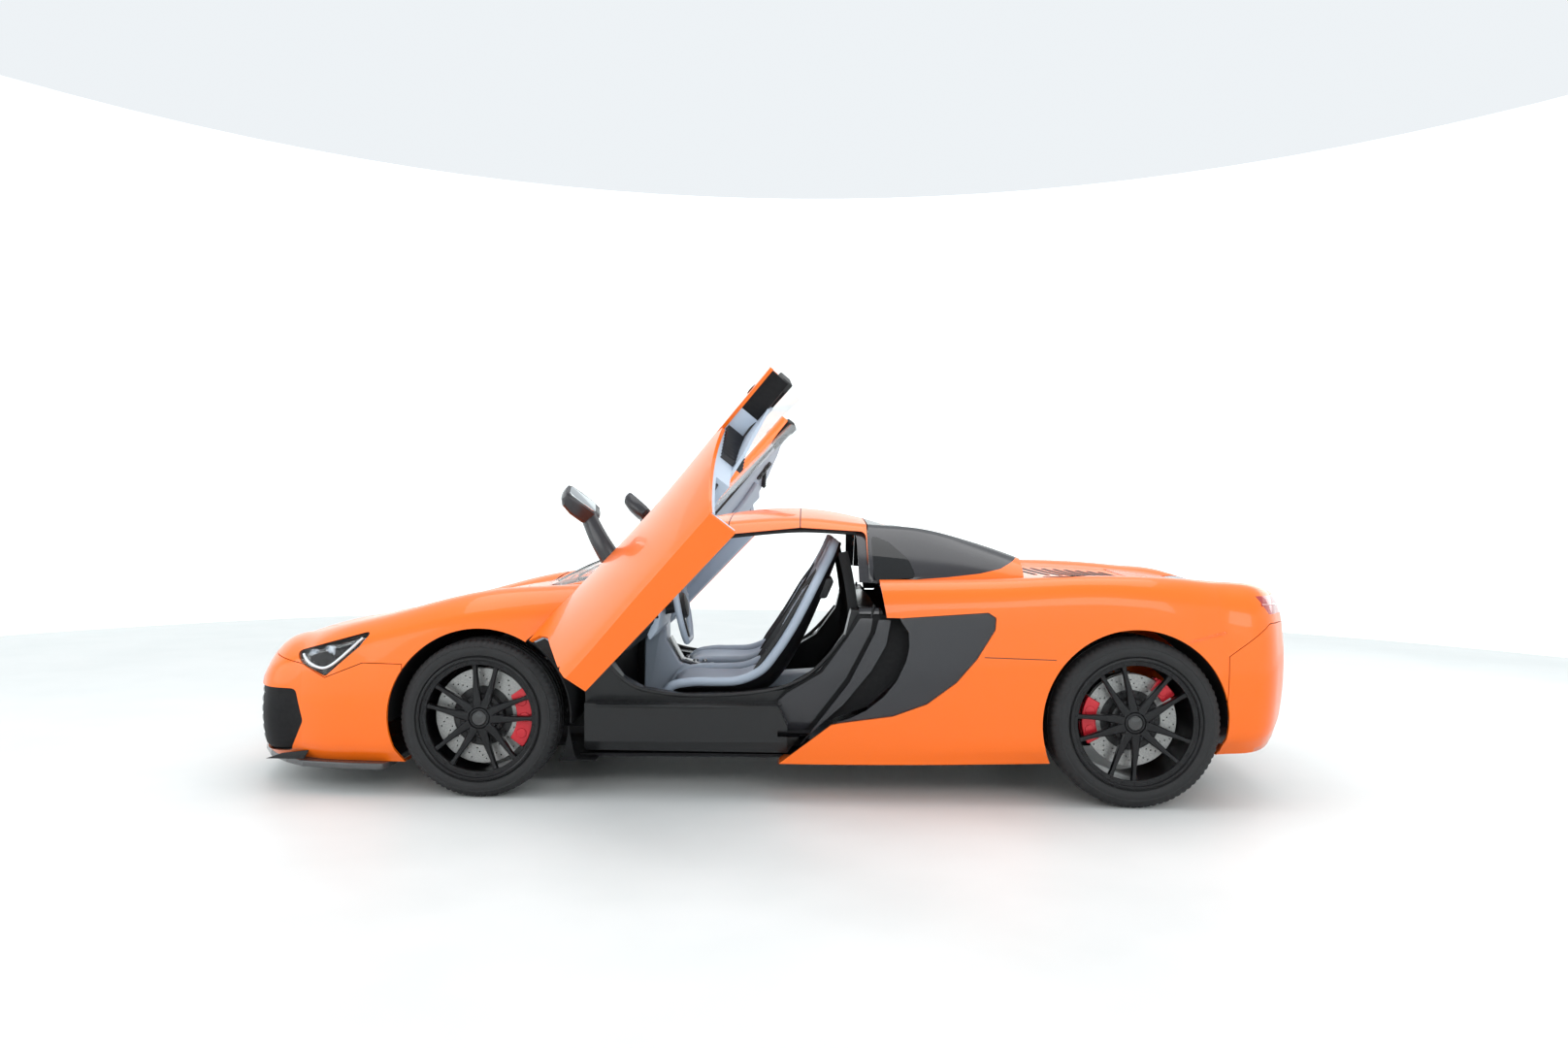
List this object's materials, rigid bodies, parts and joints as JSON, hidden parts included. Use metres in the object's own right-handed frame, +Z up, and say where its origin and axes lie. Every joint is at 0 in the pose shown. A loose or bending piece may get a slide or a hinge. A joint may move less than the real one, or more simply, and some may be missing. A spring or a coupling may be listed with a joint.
{
  "type": "mid-engined sports car",
  "caption": "Low mid-engined two-seat sports car with folding hardtop, upswinging doors shown open, and turning, steering wheels.",
  "frame": {"origin": "middle of the car's bounding box on the ground, doors open as they stand", "axes": "+Z up, nose along -X, left side at -Y"},
  "size_m": [4.512, 3.267, 1.7447],
  "materials": {
    "orange_paint": "gloss",
    "gloss_black": "gloss",
    "silver_grey": "gloss",
    "black_plastic": "matte",
    "carbon": "satin",
    "lamp_clear": "gloss",
    "lamp_red": "gloss",
    "glass": "gloss",
    "tyre": "matte",
    "black_wheel": "satin",
    "disc_metal": "satin",
    "caliper_red": "gloss",
    "alloy": "satin",
    "chrome": "polished",
    "blue_grey_leather": "satin",
    "black_shell": "satin"
  },
  "bodies": {
    "chassis": {"console": "blue_grey_leather", "cowl": "gloss_black", "dashboard": "black_plastic", "diffuser": "gloss_black", "engine": "alloy", "exhaust_tips": "chrome", "front_bumper": "orange_paint", "front_grilles": "black_plastic", "front_wings": "orange_paint", "front_wishbones": "alloy", "headlamps": "lamp_clear", "luggage_tray": "black_plastic", "rear_bumper": "orange_paint", "rear_calipers": "caliper_red", "rear_deck": "orange_paint", "rear_grille": "black_plastic", "rear_quarters": "orange_paint", "rear_suspension": "alloy", "roof_panels": "orange_paint", "seat_pads": "blue_grey_leather", "seat_shells": "black_shell", "side_intakes": "gloss_black", "splitter": "gloss_black", "tail_lamps": "lamp_red", "tub": "carbon", "undertray": "black_plastic", "wheel_liners": "black_plastic", "windscreen": "glass", "windscreen_frame": "orange_paint"},
    "knuckle_left": {"knuckle_left": "alloy", "caliper_front_left": "caliper_red"},
    "door_left": {"door_left": "orange_paint", "door_trim_left": "blue_grey_leather", "door_glass_left": "glass", "mirror_left": "gloss_black"},
    "wheel_front_left": {"tyre_front_left": "tyre", "rim_front_left": "black_wheel", "disc_front_left": "disc_metal"},
    "wheel_rear_left": {"tyre_rear_left": "tyre", "rim_rear_left": "black_wheel", "disc_rear_left": "disc_metal"},
    "knuckle_right": {"knuckle_right": "alloy", "caliper_front_right": "caliper_red"},
    "door_right": {"door_right": "orange_paint", "door_trim_right": "blue_grey_leather", "door_glass_right": "glass", "mirror_right": "gloss_black"},
    "wheel_front_right": {"tyre_front_right": "tyre", "rim_front_right": "black_wheel", "disc_front_right": "disc_metal"},
    "wheel_rear_right": {"tyre_rear_right": "tyre", "rim_rear_right": "black_wheel", "disc_rear_right": "disc_metal"},
    "steering_wheel": {"steering_wheel": "blue_grey_leather"},
    "bonnet": {"bonnet": "orange_paint"},
    "tonneau": {"tonneau": "orange_paint", "buttresses": "gloss_black", "quarter_windows": "glass"},
    "airbrake": {"airbrake": "silver_grey"}
  },
  "joints": [
    {"name": "steer_left", "type": "hinge", "parent": "chassis", "child": "knuckle_left", "pos_m": [-1.161, -0.784, 0.3235], "axis": [0, 0, 1], "range_deg": [-30, 30]},
    {"name": "steer_right", "type": "hinge", "parent": "chassis", "child": "knuckle_right", "pos_m": [-1.161, 0.784, 0.3235], "axis": [0, 0, 1], "range_deg": [-30, 30]},
    {"name": "roll_front_left", "type": "hinge", "parent": "knuckle_left", "child": "wheel_front_left", "pos_m": [-1.161, -0.828, 0.3235], "axis": [0, 1, 0], "continuous": true},
    {"name": "roll_rear_left", "type": "hinge", "parent": "chassis", "child": "wheel_rear_left", "pos_m": [1.509, -0.7915, 0.3455], "axis": [0, 1, 0], "continuous": true},
    {"name": "roll_front_right", "type": "hinge", "parent": "knuckle_right", "child": "wheel_front_right", "pos_m": [-1.161, 0.828, 0.3235], "axis": [0, 1, 0], "continuous": true},
    {"name": "roll_rear_right", "type": "hinge", "parent": "chassis", "child": "wheel_rear_right", "pos_m": [1.509, 0.7915, 0.3455], "axis": [0, 1, 0], "continuous": true},
    {"name": "steering_wheel", "type": "hinge", "parent": "chassis", "child": "steering_wheel", "pos_m": [-0.391, -0.38, 0.752], "axis": [0.9802, 0, 0.198], "range_deg": [-420, 420]},
    {"name": "door_left", "type": "hinge", "parent": "chassis", "child": "door_left", "pos_m": [-0.63893, -0.76199, 0.89654], "axis": [0.7543, 0.4402, 0.4872], "range_deg": [0, 76.7]},
    {"name": "door_right", "type": "hinge", "parent": "chassis", "child": "door_right", "pos_m": [-0.63893, 0.76199, 0.89654], "axis": [-0.7543, 0.4402, -0.4872], "range_deg": [0, 76.7]},
    {"name": "bonnet", "type": "hinge", "parent": "chassis", "child": "bonnet", "pos_m": [-1.007, 0, 0.83], "axis": [0, 1, 0], "range_deg": [0, 60]},
    {"name": "tonneau", "type": "hinge", "parent": "chassis", "child": "tonneau", "pos_m": [1.097, 0, 0.903], "axis": [0, 1, 0], "range_deg": [0, 40]},
    {"name": "airbrake", "type": "hinge", "parent": "chassis", "child": "airbrake", "pos_m": [1.787, 0, 0.888], "axis": [0, -1, 0], "range_deg": [0, 55]}
  ],
  "couplings": [
    {"joint": "steer_right", "follows": "steer_left", "ratio": 1},
    {"joint": "steering_wheel", "follows": "steer_left", "ratio": 14}
  ]
}
